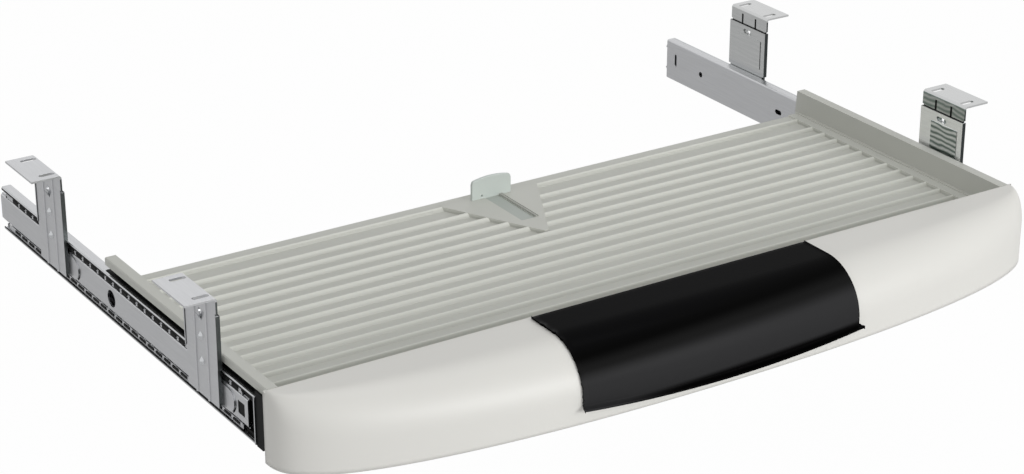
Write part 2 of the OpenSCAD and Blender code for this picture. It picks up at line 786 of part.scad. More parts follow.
hanger(front_y, true);  // hanger_front_left
hanger(front_y, false);  // hanger_front_right
hanger(rear_y, true);  // hanger_rear_left
hanger(rear_y, false);  // hanger_rear_right
sleeve(front_y, true);  // sleeve_front_left
sleeve(front_y, false);  // sleeve_front_right
sleeve(rear_y, true);  // sleeve_rear_left
sleeve(rear_y, false);  // sleeve_rear_right
fixed_runner(true);  // fixed_runner_left
fixed_runner(false);  // fixed_runner_right
runner_stop(true);  // runner_stop_left
runner_stop(false);  // runner_stop_right
bracket_rivets(true);  // bracket_rivets_left
bracket_rivets(false);  // bracket_rivets_right
ball_cage(true);  // ball_cage_left
ball_cage(false);  // ball_cage_right
bearing_balls(true);  // bearing_balls_left
bearing_balls(false);  // bearing_balls_right
tray_channel(true);  // tray_channel_left
tray_channel(false);  // tray_channel_right
channel_bumper(true);  // channel_bumper_left
channel_bumper(false);  // channel_bumper_right
side_plate(true);  // side_plate_left
side_plate(false);  // side_plate_right
channel_screws(true);  // channel_screws_left
channel_screws(false);  // channel_screws_right
tray_shell();
front_fascia();
wrist_pad();
cable_tab();
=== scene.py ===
import json

import bmesh
import bpy
import numpy as np
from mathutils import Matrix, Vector


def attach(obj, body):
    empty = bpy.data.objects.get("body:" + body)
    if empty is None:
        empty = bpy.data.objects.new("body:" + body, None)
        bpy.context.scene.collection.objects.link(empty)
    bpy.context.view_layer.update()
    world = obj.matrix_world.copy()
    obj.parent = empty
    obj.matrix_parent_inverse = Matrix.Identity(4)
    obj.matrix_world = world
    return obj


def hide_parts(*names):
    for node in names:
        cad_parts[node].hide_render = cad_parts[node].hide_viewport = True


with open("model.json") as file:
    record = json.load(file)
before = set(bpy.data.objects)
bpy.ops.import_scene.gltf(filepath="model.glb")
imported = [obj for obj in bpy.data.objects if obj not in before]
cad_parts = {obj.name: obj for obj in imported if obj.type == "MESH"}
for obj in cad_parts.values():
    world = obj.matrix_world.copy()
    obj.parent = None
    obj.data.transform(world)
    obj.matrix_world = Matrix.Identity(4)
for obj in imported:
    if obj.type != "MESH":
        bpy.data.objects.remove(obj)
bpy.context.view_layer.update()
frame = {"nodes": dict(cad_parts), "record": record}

scene = bpy.context.scene

meshing = {
    "crease": 0.6,           # radians; two faces at a larger angle meet in a sharp edge
    "flat": 0.002,           # radians; faces within this angle become one
    "weld": 1e-6,            # metres between points of a CAD mesh that are one
    "least": 1e-7,           # metres of the shortest edge that stays
    "bevelSteps": 3,
}
bracketY = 0.13325           # a bracket's middle, before and behind the origin
legFace = 0.3467             # the outer face of a hanger's leg, from the middle


def linear(hexText):
    # one sRGB hex colour as the linear RGBA that a shader socket takes
    part = np.array([int(hexText[i:i + 2], 16) / 255 for i in (0, 2, 4)])
    part = np.where(part <= 0.04045, part / 12.92, ((part + 0.055) / 1.055) ** 2.4)
    return (*part, 1.0)


def addObject(name, data):
    piece = bpy.data.objects.new(name, data)
    scene.collection.objects.link(piece)
    return piece


def meshFrom(name, points, quads, smooth=True):
    # points is (n, 3) in metres, quads is (m, 4) indices
    mesh = bpy.data.meshes.new(name)
    mesh.vertices.add(len(points))
    mesh.vertices.foreach_set("co", np.asarray(points, dtype=np.float32).ravel())
    mesh.loops.add(quads.size)
    mesh.loops.foreach_set("vertex_index", quads.astype(np.int32).ravel())
    mesh.polygons.add(len(quads))
    mesh.polygons.foreach_set("loop_start", np.arange(0, quads.size, 4, dtype=np.int32))
    mesh.polygons.foreach_set("use_smooth", np.full(len(quads), smooth))
    mesh.update(calc_edges=True)
    mesh.validate()
    return addObject(name, mesh)


def gridQuads(rows, cols, start=0, closeRows=False, flip=False):
    # quads of a grid whose vertex (r, c) is start + r * cols + c
    r = np.arange(rows if closeRows else rows - 1)
    c = np.arange(cols - 1)
    r, c = np.meshgrid(r, c, indexing="ij")
    low, high = r * cols + c, ((r + 1) % rows) * cols + c
    quads = np.stack([low, low + 1, high + 1, high], axis=-1).reshape(-1, 4) + start
    return quads[:, ::-1] if flip else quads


def creaseEdges(work):
    for edge in work.edges:
        edge.smooth = len(edge.link_faces) == 2 and edge.calc_face_angle() < meshing["crease"]


def slab(name, upper, lower):
    # a closed solid between two grids of points, (rows, cols, 3) each
    rows, cols = upper.shape[:2]
    count = rows * cols
    points = np.concatenate([upper.reshape(-1, 3), lower.reshape(-1, 3)])
    index = np.arange(count).reshape(rows, cols)
    border = np.concatenate([index[0, :-1], index[:-1, -1], index[-1, :0:-1], index[:0:-1, 0]])
    after = np.roll(border, -1)
    rim = np.stack([border, after, after + count, border + count], axis=-1)
    under = gridQuads(rows, cols, start=count, flip=True)
    piece = meshFrom(name, points, np.concatenate([gridQuads(rows, cols), under, rim]))
    work = bmesh.new()
    work.from_mesh(piece.data)
    bmesh.ops.remove_doubles(work, verts=work.verts, dist=meshing["least"])
    bmesh.ops.recalc_face_normals(work, faces=work.faces)
    creaseEdges(work)
    work.to_mesh(piece.data)
    work.free()
    return piece


def joined(name, pieces):
    # one new piece from the meshes of several, which go
    work = bmesh.new()
    for piece in pieces:
        work.from_mesh(piece.data)
        bpy.data.objects.remove(piece)
    mesh = bpy.data.meshes.new(name)
    work.to_mesh(mesh)
    work.free()
    return addObject(name, mesh)


def brick(name, side, acrossX, alongY, upZ):
    # a block as a closed grid; each range is (low, high), and x is given for the right side
    low, high = sorted(side * x for x in acrossX)
    y, z = np.meshgrid(alongY, upZ)
    return slab(name, np.stack([high + 0 * y, y, z], axis=-1), np.stack([low + 0 * y, y, z], axis=-1))


def addBevel(piece, width, angle):
    edge = piece.modifiers.new("edge", "BEVEL")
    edge.width = width
    edge.segments = meshing["bevelSteps"]
    edge.limit_method = "ANGLE"
    edge.angle_limit = angle
    return edge


# width of the broken edges, by the start of a CAD node's name
edgeBreak = {
    "tray_shell": 0.0006,
    "cable_tab": 0.0005,
    "side_plate": 0.0004,
    "hanger": 0.00045,
    "sleeve": 0.0004,
    "fixed_runner": 0.0003,
    "tray_channel": 0.0003,
    "runner_stop": 0.0003,
    "channel_bumper": 0.0005,
    "ball_cage": 0.0,
    "bearing_balls": 0.0,
    "bracket_rivets": 0.0002,
    "channel_screws": 0.0001,
}


def softened(node, width):
    # a merged copy of a CAD node's mesh, smooth over its arcs, with its sharp edges broken by width
    mesh = frame["nodes"][node].data.copy()
    mesh.name = node + "_soft"
    work = bmesh.new()
    work.from_mesh(mesh)
    bmesh.ops.remove_doubles(work, verts=work.verts, dist=meshing["weld"])
    bmesh.ops.dissolve_degenerate(work, edges=work.edges, dist=meshing["least"])
    for face in work.faces:
        face.smooth = True
    creaseEdges(work)
    bmesh.ops.dissolve_limit(work, angle_limit=meshing["flat"], verts=work.verts, edges=work.edges,
        delimit={"SHARP"})
    work.to_mesh(mesh)
    work.free()
    piece = addObject(node + "_soft", mesh)
    if width:
        addBevel(piece, width, meshing["crease"]).harden_normals = True
    return piece


front = {
    "backY": -0.22075,       # plane where the front meets the tray
    "halfWidth": 0.3438,
    "depth": 0.0745,
    "topZ": -0.0463,
    "bottomZ": -0.1027,
    "rollDepth": 0.040,      # how far back the rounded edge reaches, at the middle
    "rollHeight": 0.038,
    "endRoll": 0.0028,       # the same at the two ends
    "rollPower": 0.5,        # how the roll's height grows with the local depth
    "planX": 2.1,            # powers of the plan's superellipse
    "planY": 2.7,
    "backRound": 0.0012,     # the edge between the top and the inner wall
    "wall": 0.0026,
    "cols": 193,             # points from right to left, and rows over each part of the section
    "flatRows": 8,
    "rollRows": 22,
    "backRows": 6,
}


def planSize(t):
    # Half width a and depth b of the front's plan at roll angle t. The plan is |x/a|^planX + d^planY = 1,
    # where d is the share of b that a point stands before backY.
    turned = 1 - np.cos(t)
    return front["halfWidth"] - front["endRoll"] * turned, front["depth"] - front["rollDepth"] * turned


def rollZ(t, d):
    # height at roll angle t: the top, less (1 - sin t) of the roll height that goes with d
    f = front
    roll = f["endRoll"] + (f["rollHeight"] - f["endRoll"]) * d ** f["rollPower"]
    return f["topZ"] - roll * (1 - np.sin(t))


def frontRing(t, u):
    # a ring of the front's surface; u runs 0 to 1 from right to left
    a, b = planSize(t)
    angle = np.pi * u
    x = np.sign(np.cos(angle)) * a * np.abs(np.cos(angle)) ** (2 / front["planX"])
    d = np.sin(angle).clip(0) ** (2 / front["planY"])
    return x, front["backY"] - b * d, rollZ(t, d)


def makeFront():
    # rows from the bottom of the outer face, over the roll, back across the top and down the inner wall
    f = front
    u = np.linspace(0, 1, f["cols"])
    shares = np.linspace(0, 1, f["flatRows"])
    x, y, z = frontRing(0.0, u)
    rows = [(x, y, f["bottomZ"] + (z - f["bottomZ"]) * share) for share in shares[:-1]]
    rows += [frontRing(t, u) for t in np.linspace(0, np.pi / 2, f["rollRows"])]
    x, y, z = frontRing(np.pi / 2, u)
    r = np.minimum(f["backRound"], f["backY"] - y)
    edge = f["backY"] - r
    rows += [(x, y + (edge - y) * share, z) for share in shares[1:]]
    for t in np.linspace(0, np.pi / 2, f["backRows"])[1:]:
        rows.append((x, edge + r * np.sin(t), z - r * (1 - np.cos(t))))
    for share in shares[1:]:
        rows.append((x, 0 * x + f["backY"], z - r + (f["bottomZ"] - z + r) * share))
    points = np.array([np.stack(row, axis=-1) for row in rows])
    piece = meshFrom("front_moulding", points.reshape(-1, 3), gridQuads(len(rows), len(u), flip=True))
    shell = piece.modifiers.new("wall", "SOLIDIFY")
    shell.thickness = f["wall"]
    shell.offset = -1
    return piece


pad = {
    "width": 0.252,
    "thickness": 0.0018,
    "inset": 0.004,          # from the front's inner edge
    "lift": 0.0125,          # bottom edge above the front's, at the pad's sides
    "sag": 0.0055,           # how much lower it hangs at the middle
    "flare": 0.0065,         # how far the bottom lip stands out
    "spread": 0.002,         # how far the lip's ends stand out sideways
    "curl": 0.0035,          # height of the lip's curl
    "gap": 0.00015,
    "cols": 61,              # points across, and rows over each part of the section
    "topRows": 8,
    "rollRows": 26,
    "fallRows": 6,
    "lipRows": 12,
    "edge": 0.0005,          # width of the broken edges, and the angle in radians from which they are
    "edgeAngle": 0.8,
}


def padRing(v, x, off):
    # The pad's surface, off from the front's: v 0 to 1 over the roll, under 0 back across the top,
    # 1 to 1.5 straight down, 1.5 to 2 out along a quarter ellipse to the lip's edge.
    t = np.pi / 2 * (1 - np.clip(v, 0, 1))
    a, b = planSize(t)
    d = (1 - np.abs(x / a) ** front["planX"]) ** (1 / front["planY"])
    y = front["backY"] - b * d
    z = rollZ(t, d)
    if v < 0:
        return x, y - v * (b * d - pad["inset"]), z + off
    if v <= 1:
        return x, y - off * np.cos(t), z + off * np.sin(t)
    turn = np.pi * max(0, v - 1.5)
    out = 1 - np.cos(turn)
    edge = front["bottomZ"] + pad["lift"] - pad["sag"] * (1 - (2 * x / pad["width"]) ** 2)
    z = z - (z - edge - pad["curl"]) * min(1, 2 * (v - 1))
    return (x * (1 + out * 2 * pad["spread"] / pad["width"]), y - off * np.cos(turn) - pad["flare"] * out,
            z - pad["curl"] * np.sin(turn) + off * np.sin(turn))


def makePad():
    # a closed sheet: rows out over its outer face and home over its inner one, with a cap at each side
    x = np.linspace(-0.5, 0.5, pad["cols"]) * pad["width"]
    steps = np.concatenate([
        np.linspace(-1, 0, pad["topRows"])[:-1], np.linspace(0, 1, pad["rollRows"])[:-1],
        np.linspace(1, 1.5, pad["fallRows"])[:-1], np.linspace(1.5, 2, pad["lipRows"])])
    outer = [padRing(v, x, pad["gap"] + pad["thickness"]) for v in steps]
    inner = [padRing(v, x, pad["gap"]) for v in steps[::-1]]
    points = np.array([np.stack(row, axis=-1) for row in outer + inner])
    rows, cols = points.shape[:2]
    r = np.arange(rows // 2 - 1)
    near, far = r * cols, (rows - 1 - r) * cols
    hem = np.stack([near, near + cols, far - cols, far], axis=-1)
    quads = np.concatenate([gridQuads(rows, cols, closeRows=True, flip=True), hem, hem[:, ::-1] + cols - 1])
    piece = meshFrom("wrist_pad_cover", points.reshape(-1, 3), quads)
    addBevel(piece, pad["edge"], pad["edgeAngle"])
    return piece


def feed(tree, node, given):
    # sets a node's inputs by name or number, each from a socket or a plain value
    for label, value in given.items():
        if isinstance(value, bpy.types.NodeSocket):
            tree.links.new(value, node.inputs[label])
        else:
            node.inputs[label].default_value = value
    return node


def addNode(tree, kind, given=None, **settings):
    node = tree.nodes.new("ShaderNode" + kind)
    for label, value in settings.items():
        setattr(node, label, value)
    return feed(tree, node, given or {})


def mathOf(tree, operation, *given):
    return addNode(tree, "Math", dict(enumerate(given)), operation=operation).outputs[0]


def mixOf(tree, share, colorA, colorB):
    # one colour Mix node; its colour sockets are 6, 7 and output 2
    return addNode(tree, "Mix", {0: share, 6: colorA, 7: colorB}, data_type="RGBA").outputs[2]


def scaledColor(tree, color, amount):
    return addNode(tree, "VectorMath", {0: color, "Scale": amount}, operation="SCALE").outputs[0]


def noiseOf(tree, vector, scale, detail):
    return addNode(tree, "TexNoise", {"Vector": vector, "Scale": scale, "Detail": detail}).outputs["Fac"]


def spanOf(tree, value, low, high):
    # 0 to 1 as the value goes from low to high
    given = {"Value": value, "From Min": low, "From Max": high}
    return addNode(tree, "MapRange", given).outputs["Result"]


def placeOf(tree):
    # the shaded point in the object's coordinates, whole and as X, Y and Z
    place = addNode(tree, "TexCoord").outputs["Object"]
    return place, addNode(tree, "SeparateXYZ", {0: place}).outputs


def normalOf(tree, which):
    return addNode(tree, "SeparateXYZ", {0: addNode(tree, "NewGeometry").outputs[which]}).outputs


def effectGroup(name, inputs):
    # a node group from inputs and their defaults to a colour, a roughness and a bump height
    group = bpy.data.node_groups.new(name, "ShaderNodeTree")
    for label, value in inputs.items():
        kind = "NodeSocketFloat" if isinstance(value, float) else "NodeSocketColor"
        group.interface.new_socket(label, in_out="INPUT", socket_type=kind).default_value = value
    for label, kind in (("Color", "Color"), ("Roughness", "Float"), ("Height", "Float")):
        group.interface.new_socket(label, in_out="OUTPUT", socket_type="NodeSocket" + kind)
    return group, group.nodes.new("NodeGroupInput").outputs, group.nodes.new("NodeGroupOutput")


mould = {
    "driftScale": 9,
    "crestZ": (-0.0680, -0.0660),    # the floor's ribs, from their foot to their crest
    "floorTop": -0.0654,             # nothing above this height is part of the ribbed floor
    "flat": 0.997,                   # a normal's z over this is a flat, not a rounded crest
    "rearward": 0.04,                # a normal's y over this looks to the rear, where painted shade goes
    "roughness": 0.12,               # what the fine grain adds to it, and to a banded skin's
    "skinRoughness": 0.06,
}


def makeMouldGrain():
    # fine moulded texture: a colour drift and a small height, with a painted highlight on the ribs' crests
    # and painted shade in the corners behind them on request
    group, given, out = effectGroup("mouldGrain", {
        "Color": (0.5, 0.5, 0.5, 1), "Drift": 0.05, "Scale": 900.0, "Roughness": 0.45,
        "Crest Painted Highlight": 0.0, "Corner Painted Shade": 0.0})
    place, parts = placeOf(group)
    broad = noiseOf(group, place, mould["driftScale"], detail=3)
    fine = noiseOf(group, place, given["Scale"], detail=2)
    centred = mathOf(group, "MULTIPLY_ADD", broad, 2, -1)
    amount = mathOf(group, "MULTIPLY_ADD", centred, given["Drift"], 1)
    # painted highlight: the ribs' rounded crests are made lighter; painted shade: the rear-facing corners
    # behind them are made darker
    normal = normalOf(group, "Normal")
    crest = spanOf(group, parts["Z"], *mould["crestZ"])
    rounded = mathOf(group, "LESS_THAN", normal["Z"], mould["flat"])
    low = mathOf(group, "LESS_THAN", parts["Z"], mould["floorTop"])
    crestPaintedHighlight = mathOf(group, "MULTIPLY", mathOf(group, "MULTIPLY", crest, rounded), low)
    behind = mathOf(group, "GREATER_THAN", normal["Y"], mould["rearward"])
    cornerPaintedShade = mathOf(group, "MULTIPLY", mathOf(group, "MULTIPLY", behind, low), given["Corner Painted Shade"])
    amount = mathOf(group, "MULTIPLY_ADD", crestPaintedHighlight, given["Crest Painted Highlight"], amount)
    amount = mathOf(group, "SUBTRACT", amount, cornerPaintedShade)
    feed(group, out, {
        "Color": scaledColor(group, given["Color"], amount),
        "Roughness": mathOf(group, "MULTIPLY_ADD", fine, mould["roughness"], given["Roughness"]),
        "Height": fine})
    return group


sheet = {
    "streaks": (900, 30, 900),       # noise cells per metre along each axis
    "streakShade": (0.9, 1.08),
    "cloudScale": 45,
    "reflectionWave": {"Scale": 72, "Distortion": 3.4, "Detail": 1.5, "Detail Scale": 0.9},
    "reflectionShare": (0.75, 0.25),       # what the wave and what the ground give to a band
    "edgeOn": 0.97,                  # a normal's |y| over this gets painted shade, but not in the flange above this height, nor as near as this to a bracket's middle, where its beads are
    "flangeZ": -0.003,               # but not in the flange above this height,
    "beadReach": 0.015,              # nor as near as this to a bracket's middle, where its beads are
}


def makeSheetGrain():
    # rolled zinc: streaks along Y, cloudy roughness, painted shade on faces that look along y, and painted
    # reflection bands on request
    group, given, out = effectGroup("sheetGrain", {
        "Color": (0.6, 0.6, 0.6, 1), "Roughness": 0.3, "Cloud": 0.1, "Edge Painted Shade": (0.1, 0.1, 0.1, 1),
        "Reflection Bands": 0.0, "Reflection Band Color": (0.1, 0.1, 0.1, 1), "Inside X": 0.0, "Below Z": 0.0})
    place, parts = placeOf(group)
    drawn = addNode(group, "Mapping", {"Vector": place, "Scale": sheet["streaks"]}).outputs["Vector"]
    streak = noiseOf(group, drawn, 1, detail=2)
    cloud = noiseOf(group, place, sheet["cloudScale"], detail=3)
    darkest, lightest = sheet["streakShade"]
    shade = addNode(group, "MapRange", {"Value": streak, "To Min": darkest, "To Max": lightest})
    tint = scaledColor(group, given["Color"], shade.outputs["Result"])
    # painted reflections: wandering bands across the height, inside one x and below one z
    wave = addNode(group, "TexWave", {"Vector": place, **sheet["reflectionWave"]}, bands_direction="Z")
    inside = mathOf(group, "LESS_THAN", parts["X"], given["Inside X"])
    below = mathOf(group, "LESS_THAN", parts["Z"], given["Below Z"])
    where = mathOf(group, "MULTIPLY", mathOf(group, "MULTIPLY", inside, below), given["Reflection Bands"])
    lift = mathOf(group, "MULTIPLY_ADD", wave.outputs["Fac"], *sheet["reflectionShare"])
    tint = mixOf(group, mathOf(group, "MULTIPLY", where, lift), tint, given["Reflection Band Color"])
    # painted shade: faces that look along y are made darker
    along = mathOf(group, "ABSOLUTE", normalOf(group, "True Normal")["Y"])
    away = mathOf(group, "SUBTRACT", mathOf(group, "ABSOLUTE", parts["Y"]), bracketY)
    edge = mathOf(group, "GREATER_THAN", along, sheet["edgeOn"])
    edge = mathOf(group, "MULTIPLY", edge, mathOf(group, "LESS_THAN", parts["Z"], sheet["flangeZ"]))
    outside = mathOf(group, "GREATER_THAN", mathOf(group, "ABSOLUTE", away), sheet["beadReach"])
    edge = mathOf(group, "MULTIPLY", edge, outside)
    feed(group, out, {
        "Color": mixOf(group, edge, tint, given["Edge Painted Shade"]),
        "Roughness": mathOf(group, "MULTIPLY_ADD", cloud, given["Cloud"], given["Roughness"]),
        "Height": streak})
    return group


def makeHeightBands(name, lowest, highest, lean, stops):
    # colour by height: stops are (z, hex) from lowest to highest, and lean tilts the bands along x
    group, given, out = effectGroup(name, {"Roughness": 0.3, "Scale": 900.0})
    place, parts = placeOf(group)
    tilted = mathOf(group, "MULTIPLY_ADD", parts["X"], lean, parts["Z"])
    ramp = addNode(group, "ValToRGB", {"Fac": spanOf(group, tilted, lowest, highest)})
    ramp.color_ramp.interpolation = "EASE"
    elements = ramp.color_ramp.elements
    while len(elements) < len(stops):
        elements.new(0.5)
    # every position is set before any colour, since a move can change the elements' order
    for element, (height, hexText) in zip(elements, stops):
        element.position = (height - lowest) / (highest - lowest)
    for element, (height, hexText) in zip(elements, stops):
        element.color = linear(hexText)
    fine = noiseOf(group, place, given["Scale"], detail=2)
    feed(group, out, {
        "Color": ramp.outputs["Color"],
        "Roughness": mathOf(group, "MULTIPLY_ADD", fine, mould["skinRoughness"], given["Roughness"]),
        "Height": fine})
    return group


mouldGrain = makeMouldGrain()
sheetGrain = makeSheetGrain()
# painted light on the pad, by height: a dark band over the roll, a lighter lower front as painted
# reflection, a near-black hem for the shade under its lip; the lean widens the hem's shade to the right
padPaintedLight = makeHeightBands("padPaintedLight", lowest=-0.1, highest=-0.04, lean=-0.03, stops=[
    (-0.0950, "030303"), (-0.0920, "080808"), (-0.0870, "313132"), (-0.0680, "343435"),
    (-0.0585, "1c1c1c"), (-0.0515, "080808"), (-0.0450, "0c0c0d")])
# painted shade: the tab's foot, below the boss top, is darker for the shadow of its recess; above it is the
# tab's own colour
tabPaintedFootShade = makeHeightBands("tabPaintedFootShade", lowest=-0.07, highest=-0.04, lean=0.0, stops=[
    (-0.0659, "b0b6b0"), (-0.0654, "d0d8d3")])
grainDepth = 0.0001          # metres that a bump height of 1 stands for

# the brackets' zinc, whose painted reflection bands lie inside one x and below one z
brightSheet = {
    "Color": linear("c6c7c7"),
    "Roughness": 0.14,
    "Cloud": 0.1,
    # the colour of the painted shade on faces that look along y
    "Edge Painted Shade": linear("3c4040"),
    "Inside X": 0.3485,
    "Below Z": -0.0016,
}


def finishOf(name, group, given, metal=0.0, bump=0.0, specular=0.5):
    material = bpy.data.materials.new(name)
    material.use_nodes = True
    tree = material.node_tree
    effect = addNode(tree, "Group", node_tree=group)
    feed(tree, effect, given)
    shader = feed(tree, tree.nodes["Principled BSDF"], {
        "Metallic": metal, "Specular IOR Level": specular,
        "Base Color": effect.outputs["Color"], "Roughness": effect.outputs["Roughness"]})
    if bump:
        raised = addNode(tree, "Bump", {
            "Strength": bump, "Distance": grainDepth, "Height": effect.outputs["Height"]})
        feed(tree, shader, {"Normal": raised.outputs["Normal"]})
    return material


finishes = {
    # the grey moulding gets the painted highlight on the rib crests and the painted shade in the corners
    # behind them
    "grey_plastic": finishOf("greyMoulding", mouldGrain,
        {"Color": linear("c9cac3"), "Drift": 0.03, "Scale": 1500, "Roughness": 0.42, "Crest Painted Highlight": 0.22,
         "Corner Painted Shade": 0.25}, bump=0.12),
    "offwhite_plastic": finishOf("offWhiteMoulding", mouldGrain,
        {"Color": linear("e2e1dc"), "Drift": 0.02, "Scale": 1800, "Roughness": 0.36}, bump=0.08),
    "tab_plastic": finishOf("tabMoulding", tabPaintedFootShade, {"Scale": 1500, "Roughness": 0.4}, bump=0.08),
    "gloss_black": finishOf("glossCover", padPaintedLight, {"Scale": 400, "Roughness": 0.17}, specular=0.008),
    "black_plastic": finishOf("blackMoulding", mouldGrain,
        {"Color": linear("0c0d0d"), "Drift": 0.1, "Scale": 900, "Roughness": 0.4}, bump=0.15, specular=0.06),
    "groove_shade": finishOf("grooveShade", mouldGrain,
        {"Color": linear("7f827d"), "Drift": 0.02, "Scale": 1500, "Roughness": 0.6}),
    # satin zinc with painted shade on faces that look along y
    "satin_zinc": finishOf("satinZinc", sheetGrain,
        {"Color": linear("c4c5c7"), "Roughness": 0.3, "Cloud": 0.12, "Edge Painted Shade": linear("5a5e5e")},
        metal=1.0, bump=0.05),
    "bright_zinc": finishOf("brightZinc", sheetGrain,
        {**brightSheet, "Roughness": 0.16, "Reflection Bands": 0.1, "Reflection Band Color": linear("8f9a96")},
        metal=1.0, bump=0.04),
    # painted reflections: dark wandering bands on the front right leg and sleeve, and a lighter colour on
    # the sleeve
    "reflection_banded_leg": finishOf("reflectionBandedLeg", sheetGrain,
        {**brightSheet, "Reflection Bands": 0.9, "Reflection Band Color": linear("6b7a74")}, metal=1.0, bump=0.04),
    "reflection_banded_sleeve": finishOf("reflectionBandedSleeve", sheetGrain,
        {**brightSheet, "Color": linear("f2f3f4"), "Reflection Bands": 0.95, "Reflection Band Color": linear("5c6c65"),
         "Inside X": 0.34335, "Below Z": 0.0}, metal=1.0, bump=0.04),
    "ball_steel": finishOf("polishedSteel", sheetGrain,
        {"Color": linear("c4c6c8"), "Roughness": 0.12, "Cloud": 0.05}, metal=1.0),
}


def paint(piece, finish):
    piece.data.materials.clear()
    piece.data.materials.append(finishes[finish])


slots = {row["node"]: row["material_slot"] for row in frame["record"]["subparts"]}
bodies = frame["record"]["behaviour"]["bodies"]
# the front right bracket's leg and sleeve take the finishes with painted reflections
reflectionBanded = {"hanger_front_right": "reflection_banded_leg", "sleeve_front_right": "reflection_banded_sleeve"}


def standFor(node, piece):
    # the piece shows in the CAD node's place, on its body and in its slot
    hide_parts(node)
    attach(piece, next(name for name, nodes in bodies.items() if node in nodes))
    paint(piece, reflectionBanded.get(node, slots[node]))


for node, piece in frame["nodes"].items():
    paint(piece, reflectionBanded.get(node, slots[node]))
print("materials: done")

for node in list(frame["nodes"]):
    kind = next((k for k in edgeBreak if node.startswith(k)), None)
    if kind:
        standFor(node, softened(node, edgeBreak[kind]))
print("edges: done")

standFor("front_fascia", makeFront())
standFor("wrist_pad", makePad())
print("front and pad: done")


def addTrim(piece, body, slotName, finish=None):
    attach(piece, body)
    paint(piece, finish or slotName)


# painted shade: a black strip on each channel's top, from the web to under the tray's rim, for the shadow
# and dark reflection under the rim
rimShade = {
    "x": (0.3346, 0.3413),
    "y": (-0.2195, 0.0425),
    "z": -0.05718,           # just off the channel's top
    "edgeHigh": 0.0001,
    "high": 0.0006,
    "cols": 17,
    "rows": 24,
}


def makeRimShade(side, label):
    # a flat arch in section: z + edgeHigh + high * (1 - |2s - 1|^6), s from 0 at the web to 1 at the edge
    s, y = np.meshgrid(np.linspace(0, 1, rimShade["cols"]), np.linspace(*rimShade["y"], rimShade["rows"]))
    inner, outer = rimShade["x"]
    x = side * (inner + (outer - inner) * s)
    high = rimShade["edgeHigh"] + rimShade["high"] * (1 - np.abs(2 * s - 1) ** 6)
    face = np.stack([x, y, rimShade["z"] + high], axis=-1)
    return slab("channel_rim_shade_" + label, face, np.stack([x, y, rimShade["z"] + 0 * s], axis=-1))


# the pressed dimples of each leg
dome = {
    "z": (-0.0395, -0.0595),
    "radius": 0.0035,
    "high": 0.0021,
    "edgeHigh": 0.00005,
    "sunk": 0.0002,          # how far it reaches into the leg
    "rings": 9,
    "spokes": 25,
}


def makeDome(name, side, y, z):
    # a pressed dome: edgeHigh + high * (1 - r^2)^1.5 over a disc, by radius and angle
    r, angle = np.meshgrid(np.linspace(0, 1, dome["rings"]), np.linspace(0, 2 * np.pi, dome["spokes"]),
        indexing="ij")
    out = dome["edgeHigh"] + dome["high"] * (1 - r ** 2) ** 1.5
    y, z = y + dome["radius"] * r * np.cos(angle), z + dome["radius"] * r * np.sin(angle)
    back = np.stack([side * (legFace - dome["sunk"]) + 0 * r, y, z], axis=-1)
    return slab(name, np.stack([side * (legFace + out), y, z], axis=-1), back)


# the tongue under the hole of each leg
tongue = {
    "halfWidth": 0.0022,
    "z": (-0.0262, -0.0208),
    "start": 0.0003,         # its distance from the leg at its foot, and what that grows by
    "out": 0.0026,
    "thick": 0.0005,
    "rows": 9,
}


def makeTongue(name, side, y):
    # a lanced tongue: its distance from the leg grows as s^1.3 with its height, s from 0 to 1
    s, across = np.meshgrid(np.linspace(0, 1, tongue["rows"]), np.linspace(-1, 1, tongue["rows"]),
        indexing="ij")
    foot, top = tongue["z"]
    out = tongue["start"] + tongue["out"] * s ** 1.3
    face = np.stack([side * (legFace + out), y + tongue["halfWidth"] * across, foot + (top - foot) * s],
        axis=-1)
    back = face.copy()
    back[..., 0] -= side * tongue["thick"]
    return slab(name, face, back)


# the cage's two edges, seen between the channel's lip and the runner, with a row of black windows in each,
# painted shade for the dark pockets
cageEdge = {
    "x": (0.3421, 0.3425),
    "y": (-0.1850, 0.2345),
    "z": ((-0.0642, -0.0603), (-0.0926, -0.0876)),
    "windowX": (0.3424, 0.3431),
    "windowZ": ((-0.0639, -0.0607), (-0.0903, -0.0884)),
    "pitch": 0.014,
    "windowLen": 0.0095,
    "lead": 0.3,             # the first window's place, in pitches
}


def makeCageEdges(side, label):
    c = cageEdge
    first, last = c["y"]
    starts = first + (np.arange(int((last - first) / c["pitch"])) + c["lead"]) * c["pitch"]
    steel = [brick("band", side, c["x"], c["y"], z) for z in c["z"]]
    dark = [brick("window", side, c["windowX"], (y, y + c["windowLen"]), z)
        for z in c["windowZ"] for y in starts]
    return joined("cage_edge_" + label, steel), joined("cage_window_shades_" + label, dark)


# plain bricks, as x, y and z ranges on the right side; the bracket's own are from its middle
channelY = (-0.2055, 0.2430)
lipShadeX = (0.3431, 0.3433)             # the dark line along each channel lip
lipShadeZ = ((-0.0598, -0.0584), (-0.0935, -0.0923))
lipShine = ((0.3414, 0.3427), channelY, (-0.0574, -0.0571))
channelEnd = ((0.3422, 0.3434), (-0.2062, -0.2049), (-0.0951, -0.0578))
# painted shade: a black line at the sleeve's top for the gap between it and the hanger
sleeveGapShade = ((0.3437, 0.3450), (-0.0256, 0.0256), (-0.0142, -0.0139))
# painted shade: black strips on each leg's inner face for the shadow in its two beads
beadShades = [((0.34505, 0.3455), y, (-0.0136, -0.0045)) for y in ((-0.0106, -0.0084), (0.0084, 0.0106))]
# painted shade: dark lines beside the ridges along the tab's foot
footGrooveShades = [((x, x + 0.0007), (-0.0308, 0.0235), (-0.0657, -0.06542)) for x in (0.0036, 0.0054, 0.0073)]


